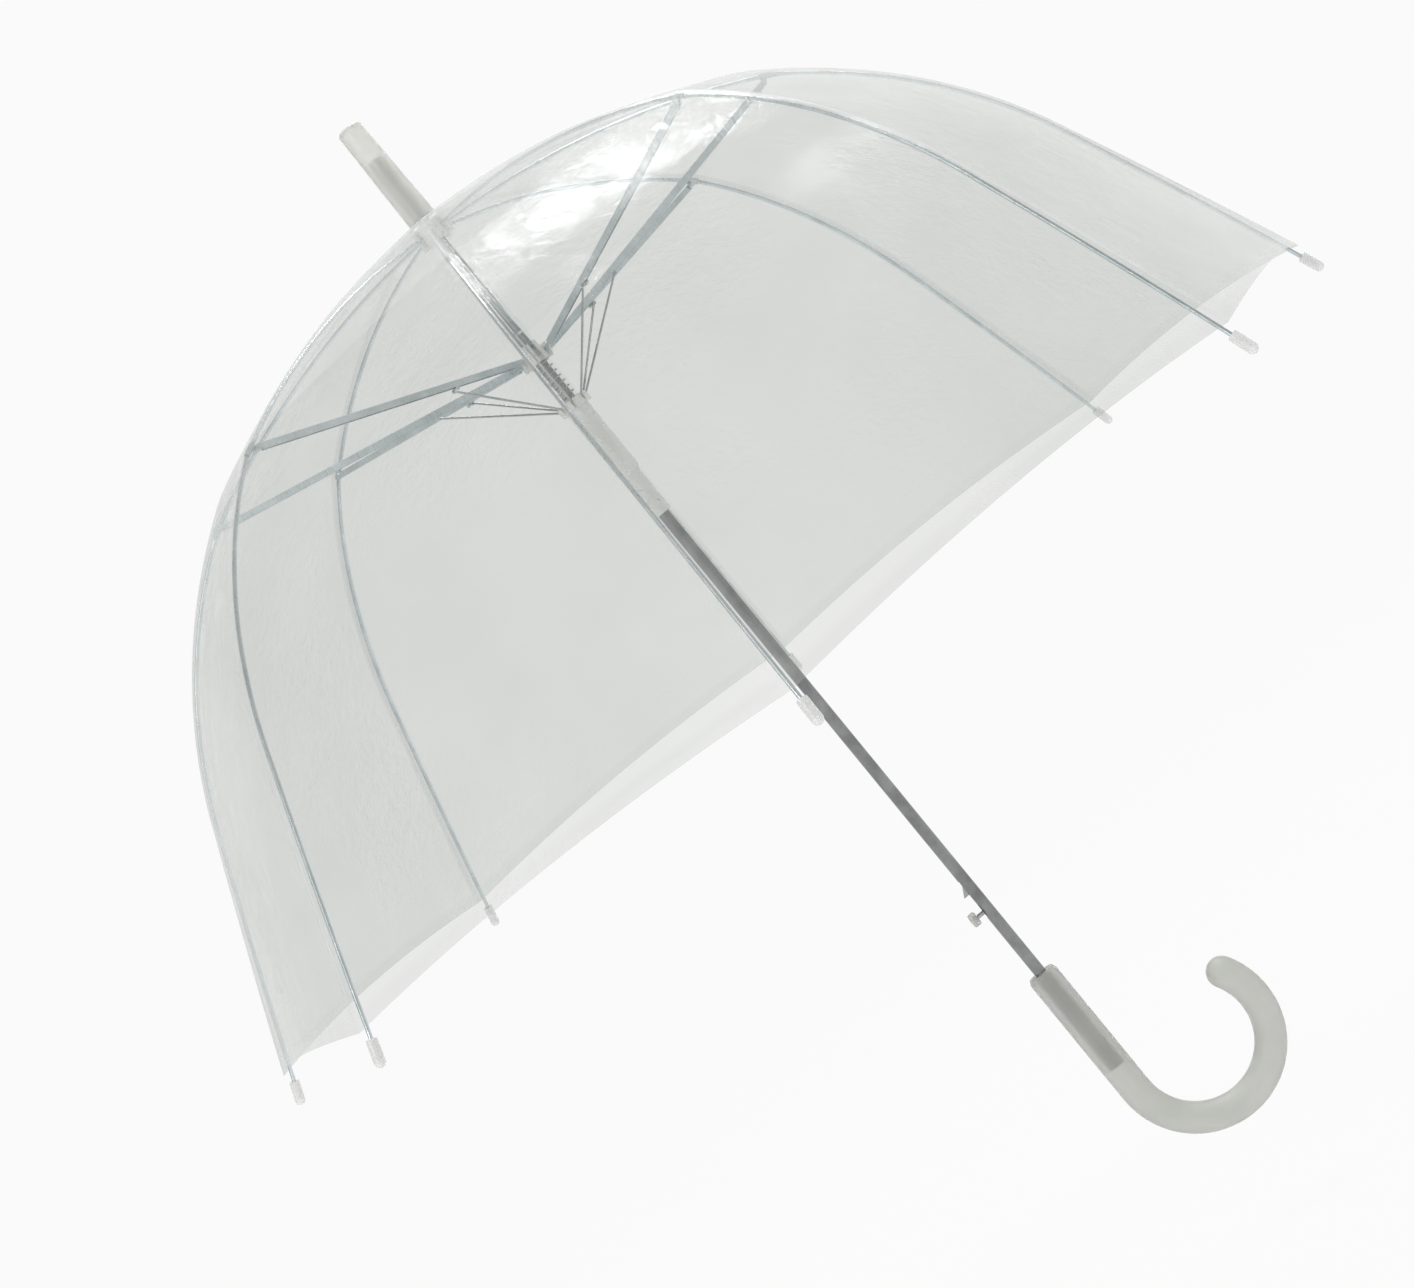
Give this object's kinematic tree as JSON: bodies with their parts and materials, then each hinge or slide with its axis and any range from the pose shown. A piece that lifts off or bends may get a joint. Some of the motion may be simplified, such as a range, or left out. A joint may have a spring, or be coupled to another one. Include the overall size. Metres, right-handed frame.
{
  "type": "stick umbrella",
  "caption": "Clear dome stick umbrella with a film canopy on folding ribs, a sliding runner, a frosted crook handle and a release button.",
  "frame": {"origin": "on the shaft axis in the middle of the straight grip of the crook handle", "axes": "+Z along the shaft towards the ferrule, +X towards the open end of the crook, -X the side of the release button"},
  "size_m": [0.8442, 0.8442, 0.8493],
  "materials": {
    "steel_tube": "drawn and polished",
    "rib_steel": "grey-blue plated steel",
    "steel_wire": "drawn wire",
    "spring_steel": "spring steel",
    "runner_plastic": "translucent white, moulded",
    "frosted_plastic": "frosted translucent",
    "clear_cap": "clear, moulded",
    "clear_film": "thin clear film"
  },
  "bodies": {
    "root": {"shaft": "steel_tube", "crook_handle": "frosted_plastic", "ferrule": "frosted_plastic", "crown_notch": "runner_plastic", "crown_wire": "steel_wire", "canopy_top": "clear_film"},
    "lower_runner": {"lower_runner": "runner_plastic", "opening_spring": "spring_steel"},
    "upper_runner": {"upper_runner": "runner_plastic", "hub_pins": "steel_wire"},
    "latch": {"latch_spring": "spring_steel", "release_button": "frosted_plastic"},
    "rib_upper_0": {"rib_upper_0": "rib_steel"},
    "rib_lower_0": {"rib_lower_0": "rib_steel", "rib_tip_0": "clear_cap", "canopy_panel_0": "clear_film"},
    "stretcher_0": {"stretcher_0": "rib_steel"},
    "strut_wire_0": {"strut_wire_0": "steel_wire"},
    "rib_upper_1": {"rib_upper_1": "rib_steel"},
    "rib_lower_1": {"rib_lower_1": "rib_steel", "rib_tip_1": "clear_cap", "canopy_panel_1": "clear_film"},
    "stretcher_1": {"stretcher_1": "rib_steel"},
    "strut_wire_1": {"strut_wire_1": "steel_wire"},
    "rib_upper_2": {"rib_upper_2": "rib_steel"},
    "rib_lower_2": {"rib_lower_2": "rib_steel", "rib_tip_2": "clear_cap", "canopy_panel_2": "clear_film"},
    "stretcher_2": {"stretcher_2": "rib_steel"},
    "strut_wire_2": {"strut_wire_2": "steel_wire"},
    "rib_upper_3": {"rib_upper_3": "rib_steel"},
    "rib_lower_3": {"rib_lower_3": "rib_steel", "rib_tip_3": "clear_cap", "canopy_panel_3": "clear_film"},
    "stretcher_3": {"stretcher_3": "rib_steel"},
    "strut_wire_3": {"strut_wire_3": "steel_wire"},
    "rib_upper_4": {"rib_upper_4": "rib_steel"},
    "rib_lower_4": {"rib_lower_4": "rib_steel", "rib_tip_4": "clear_cap", "canopy_panel_4": "clear_film"},
    "stretcher_4": {"stretcher_4": "rib_steel"},
    "strut_wire_4": {"strut_wire_4": "steel_wire"},
    "rib_upper_5": {"rib_upper_5": "rib_steel"},
    "rib_lower_5": {"rib_lower_5": "rib_steel", "rib_tip_5": "clear_cap", "canopy_panel_5": "clear_film"},
    "stretcher_5": {"stretcher_5": "rib_steel"},
    "strut_wire_5": {"strut_wire_5": "steel_wire"},
    "rib_upper_6": {"rib_upper_6": "rib_steel"},
    "rib_lower_6": {"rib_lower_6": "rib_steel", "rib_tip_6": "clear_cap", "canopy_panel_6": "clear_film"},
    "stretcher_6": {"stretcher_6": "rib_steel"},
    "strut_wire_6": {"strut_wire_6": "steel_wire"},
    "rib_upper_7": {"rib_upper_7": "rib_steel"},
    "rib_lower_7": {"rib_lower_7": "rib_steel", "rib_tip_7": "clear_cap", "canopy_panel_7": "clear_film"},
    "stretcher_7": {"stretcher_7": "rib_steel"},
    "strut_wire_7": {"strut_wire_7": "steel_wire"}
  },
  "joints": [
    {"name": "runner_slide", "type": "slide", "parent": "root", "child": "lower_runner", "axis": [0, 0, -1], "range_m": [0, 0.31343], "stiffness_N_per_m": 30, "springref_m": -0.6, "deforming": ["opening_spring", "canopy_top", "canopy_panel_0", "canopy_panel_1", "canopy_panel_2", "canopy_panel_3", "canopy_panel_4", "canopy_panel_5", "canopy_panel_6", "canopy_panel_7"]},
    {"name": "hub_slide", "type": "slide", "parent": "root", "child": "upper_runner", "axis": [0, 0, -1], "range_m": [0, 0.337]},
    {"name": "button_press", "type": "slide", "parent": "root", "child": "latch", "axis": [1, 0, 0], "range_m": [0, 0.0036], "stiffness_N_per_m": 600, "springref_m": -0.002},
    {"name": "rib_fold_0", "type": "hinge", "parent": "root", "child": "rib_upper_0", "pos_m": [0.009, 0, 0.654], "axis": [0, 1, 0], "range_deg": [0, 73.07]},
    {"name": "rib_bend_0", "type": "hinge", "parent": "rib_upper_0", "child": "rib_lower_0", "pos_m": [0.228, 0, 0.5953], "axis": [0, -1, 0], "range_deg": [0, 42.8]},
    {"name": "stretcher_fold_0", "type": "hinge", "parent": "upper_runner", "child": "stretcher_0", "pos_m": [0.0086, 0.0034, 0.5515], "axis": [0, -1, 0], "range_deg": [0, 77.27]},
    {"name": "wire_fold_0", "type": "hinge", "parent": "lower_runner", "child": "strut_wire_0", "pos_m": [0.0095, 0, 0.5135], "axis": [0, -1, 0], "range_deg": [0, 50.31]},
    {"name": "rib_fold_1", "type": "hinge", "parent": "root", "child": "rib_upper_1", "pos_m": [0.00636, 0.00636, 0.654], "axis": [-0.7071, 0.7071, 0], "range_deg": [0, 73.07]},
    {"name": "rib_bend_1", "type": "hinge", "parent": "rib_upper_1", "child": "rib_lower_1", "pos_m": [0.16122, 0.16122, 0.5953], "axis": [0.7071, -0.7071, 0], "range_deg": [0, 42.8]},
    {"name": "stretcher_fold_1", "type": "hinge", "parent": "upper_runner", "child": "stretcher_1", "pos_m": [0.00368, 0.00848, 0.5515], "axis": [0.7071, -0.7071, 0], "range_deg": [0, 77.27]},
    {"name": "wire_fold_1", "type": "hinge", "parent": "lower_runner", "child": "strut_wire_1", "pos_m": [0.00672, 0.00672, 0.5135], "axis": [0.7071, -0.7071, 0], "range_deg": [0, 50.31]},
    {"name": "rib_fold_2", "type": "hinge", "parent": "root", "child": "rib_upper_2", "pos_m": [0, 0.009, 0.654], "axis": [-1, 0, 0], "range_deg": [0, 73.07]},
    {"name": "rib_bend_2", "type": "hinge", "parent": "rib_upper_2", "child": "rib_lower_2", "pos_m": [0, 0.228, 0.5953], "axis": [1, 0, 0], "range_deg": [0, 42.8]},
    {"name": "stretcher_fold_2", "type": "hinge", "parent": "upper_runner", "child": "stretcher_2", "pos_m": [-0.0034, 0.0086, 0.5515], "axis": [1, 0, 0], "range_deg": [0, 77.27]},
    {"name": "wire_fold_2", "type": "hinge", "parent": "lower_runner", "child": "strut_wire_2", "pos_m": [0, 0.0095, 0.5135], "axis": [1, 0, 0], "range_deg": [0, 50.31]},
    {"name": "rib_fold_3", "type": "hinge", "parent": "root", "child": "rib_upper_3", "pos_m": [-0.00636, 0.00636, 0.654], "axis": [-0.7071, -0.7071, 0], "range_deg": [0, 73.07]},
    {"name": "rib_bend_3", "type": "hinge", "parent": "rib_upper_3", "child": "rib_lower_3", "pos_m": [-0.16122, 0.16122, 0.5953], "axis": [0.7071, 0.7071, 0], "range_deg": [0, 42.8]},
    {"name": "stretcher_fold_3", "type": "hinge", "parent": "upper_runner", "child": "stretcher_3", "pos_m": [-0.00848, 0.00368, 0.5515], "axis": [0.7071, 0.7071, 0], "range_deg": [0, 77.27]},
    {"name": "wire_fold_3", "type": "hinge", "parent": "lower_runner", "child": "strut_wire_3", "pos_m": [-0.00672, 0.00672, 0.5135], "axis": [0.7071, 0.7071, 0], "range_deg": [0, 50.31]},
    {"name": "rib_fold_4", "type": "hinge", "parent": "root", "child": "rib_upper_4", "pos_m": [-0.009, 0, 0.654], "axis": [0, -1, 0], "range_deg": [0, 73.07]},
    {"name": "rib_bend_4", "type": "hinge", "parent": "rib_upper_4", "child": "rib_lower_4", "pos_m": [-0.228, 0, 0.5953], "axis": [0, 1, 0], "range_deg": [0, 42.8]},
    {"name": "stretcher_fold_4", "type": "hinge", "parent": "upper_runner", "child": "stretcher_4", "pos_m": [-0.0086, -0.0034, 0.5515], "axis": [0, 1, 0], "range_deg": [0, 77.27]},
    {"name": "wire_fold_4", "type": "hinge", "parent": "lower_runner", "child": "strut_wire_4", "pos_m": [-0.0095, 0, 0.5135], "axis": [0, 1, 0], "range_deg": [0, 50.31]},
    {"name": "rib_fold_5", "type": "hinge", "parent": "root", "child": "rib_upper_5", "pos_m": [-0.00636, -0.00636, 0.654], "axis": [0.7071, -0.7071, 0], "range_deg": [0, 73.07]},
    {"name": "rib_bend_5", "type": "hinge", "parent": "rib_upper_5", "child": "rib_lower_5", "pos_m": [-0.16122, -0.16122, 0.5953], "axis": [-0.7071, 0.7071, 0], "range_deg": [0, 42.8]},
    {"name": "stretcher_fold_5", "type": "hinge", "parent": "upper_runner", "child": "stretcher_5", "pos_m": [-0.00368, -0.00848, 0.5515], "axis": [-0.7071, 0.7071, 0], "range_deg": [0, 77.27]},
    {"name": "wire_fold_5", "type": "hinge", "parent": "lower_runner", "child": "strut_wire_5", "pos_m": [-0.00672, -0.00672, 0.5135], "axis": [-0.7071, 0.7071, 0], "range_deg": [0, 50.31]},
    {"name": "rib_fold_6", "type": "hinge", "parent": "root", "child": "rib_upper_6", "pos_m": [0, -0.009, 0.654], "axis": [1, 0, 0], "range_deg": [0, 73.07]},
    {"name": "rib_bend_6", "type": "hinge", "parent": "rib_upper_6", "child": "rib_lower_6", "pos_m": [0, -0.228, 0.5953], "axis": [-1, 0, 0], "range_deg": [0, 42.8]},
    {"name": "stretcher_fold_6", "type": "hinge", "parent": "upper_runner", "child": "stretcher_6", "pos_m": [0.0034, -0.0086, 0.5515], "axis": [-1, 0, 0], "range_deg": [0, 77.27]},
    {"name": "wire_fold_6", "type": "hinge", "parent": "lower_runner", "child": "strut_wire_6", "pos_m": [0, -0.0095, 0.5135], "axis": [-1, 0, 0], "range_deg": [0, 50.31]},
    {"name": "rib_fold_7", "type": "hinge", "parent": "root", "child": "rib_upper_7", "pos_m": [0.00636, -0.00636, 0.654], "axis": [0.7071, 0.7071, 0], "range_deg": [0, 73.07]},
    {"name": "rib_bend_7", "type": "hinge", "parent": "rib_upper_7", "child": "rib_lower_7", "pos_m": [0.16122, -0.16122, 0.5953], "axis": [-0.7071, -0.7071, 0], "range_deg": [0, 42.8]},
    {"name": "stretcher_fold_7", "type": "hinge", "parent": "upper_runner", "child": "stretcher_7", "pos_m": [0.00848, -0.00368, 0.5515], "axis": [-0.7071, -0.7071, 0], "range_deg": [0, 77.27]},
    {"name": "wire_fold_7", "type": "hinge", "parent": "lower_runner", "child": "strut_wire_7", "pos_m": [0.00672, -0.00672, 0.5135], "axis": [-0.7071, -0.7071, 0], "range_deg": [0, 50.31]}
  ],
  "couplings": [
    {"joint": "hub_slide", "follows": "runner_slide", "ratio": 1.0752},
    {"joint": "rib_fold_0", "follows": "runner_slide", "rad_per_m": 4.0689},
    {"joint": "rib_bend_0", "follows": "runner_slide", "rad_per_m": 2.3834},
    {"joint": "stretcher_fold_0", "follows": "runner_slide", "rad_per_m": 4.3026},
    {"joint": "wire_fold_0", "follows": "runner_slide", "rad_per_m": 2.8018},
    {"joint": "rib_fold_1", "follows": "runner_slide", "rad_per_m": 4.0689},
    {"joint": "rib_bend_1", "follows": "runner_slide", "rad_per_m": 2.3834},
    {"joint": "stretcher_fold_1", "follows": "runner_slide", "rad_per_m": 4.3026},
    {"joint": "wire_fold_1", "follows": "runner_slide", "rad_per_m": 2.8018},
    {"joint": "rib_fold_2", "follows": "runner_slide", "rad_per_m": 4.0689},
    {"joint": "rib_bend_2", "follows": "runner_slide", "rad_per_m": 2.3834},
    {"joint": "stretcher_fold_2", "follows": "runner_slide", "rad_per_m": 4.3026},
    {"joint": "wire_fold_2", "follows": "runner_slide", "rad_per_m": 2.8018},
    {"joint": "rib_fold_3", "follows": "runner_slide", "rad_per_m": 4.0689},
    {"joint": "rib_bend_3", "follows": "runner_slide", "rad_per_m": 2.3834},
    {"joint": "stretcher_fold_3", "follows": "runner_slide", "rad_per_m": 4.3026},
    {"joint": "wire_fold_3", "follows": "runner_slide", "rad_per_m": 2.8018},
    {"joint": "rib_fold_4", "follows": "runner_slide", "rad_per_m": 4.0689},
    {"joint": "rib_bend_4", "follows": "runner_slide", "rad_per_m": 2.3834},
    {"joint": "stretcher_fold_4", "follows": "runner_slide", "rad_per_m": 4.3026},
    {"joint": "wire_fold_4", "follows": "runner_slide", "rad_per_m": 2.8018},
    {"joint": "rib_fold_5", "follows": "runner_slide", "rad_per_m": 4.0689},
    {"joint": "rib_bend_5", "follows": "runner_slide", "rad_per_m": 2.3834},
    {"joint": "stretcher_fold_5", "follows": "runner_slide", "rad_per_m": 4.3026},
    {"joint": "wire_fold_5", "follows": "runner_slide", "rad_per_m": 2.8018},
    {"joint": "rib_fold_6", "follows": "runner_slide", "rad_per_m": 4.0689},
    {"joint": "rib_bend_6", "follows": "runner_slide", "rad_per_m": 2.3834},
    {"joint": "stretcher_fold_6", "follows": "runner_slide", "rad_per_m": 4.3026},
    {"joint": "wire_fold_6", "follows": "runner_slide", "rad_per_m": 2.8018},
    {"joint": "rib_fold_7", "follows": "runner_slide", "rad_per_m": 4.0689},
    {"joint": "rib_bend_7", "follows": "runner_slide", "rad_per_m": 2.3834},
    {"joint": "stretcher_fold_7", "follows": "runner_slide", "rad_per_m": 4.3026},
    {"joint": "wire_fold_7", "follows": "runner_slide", "rad_per_m": 2.8018}
  ]
}
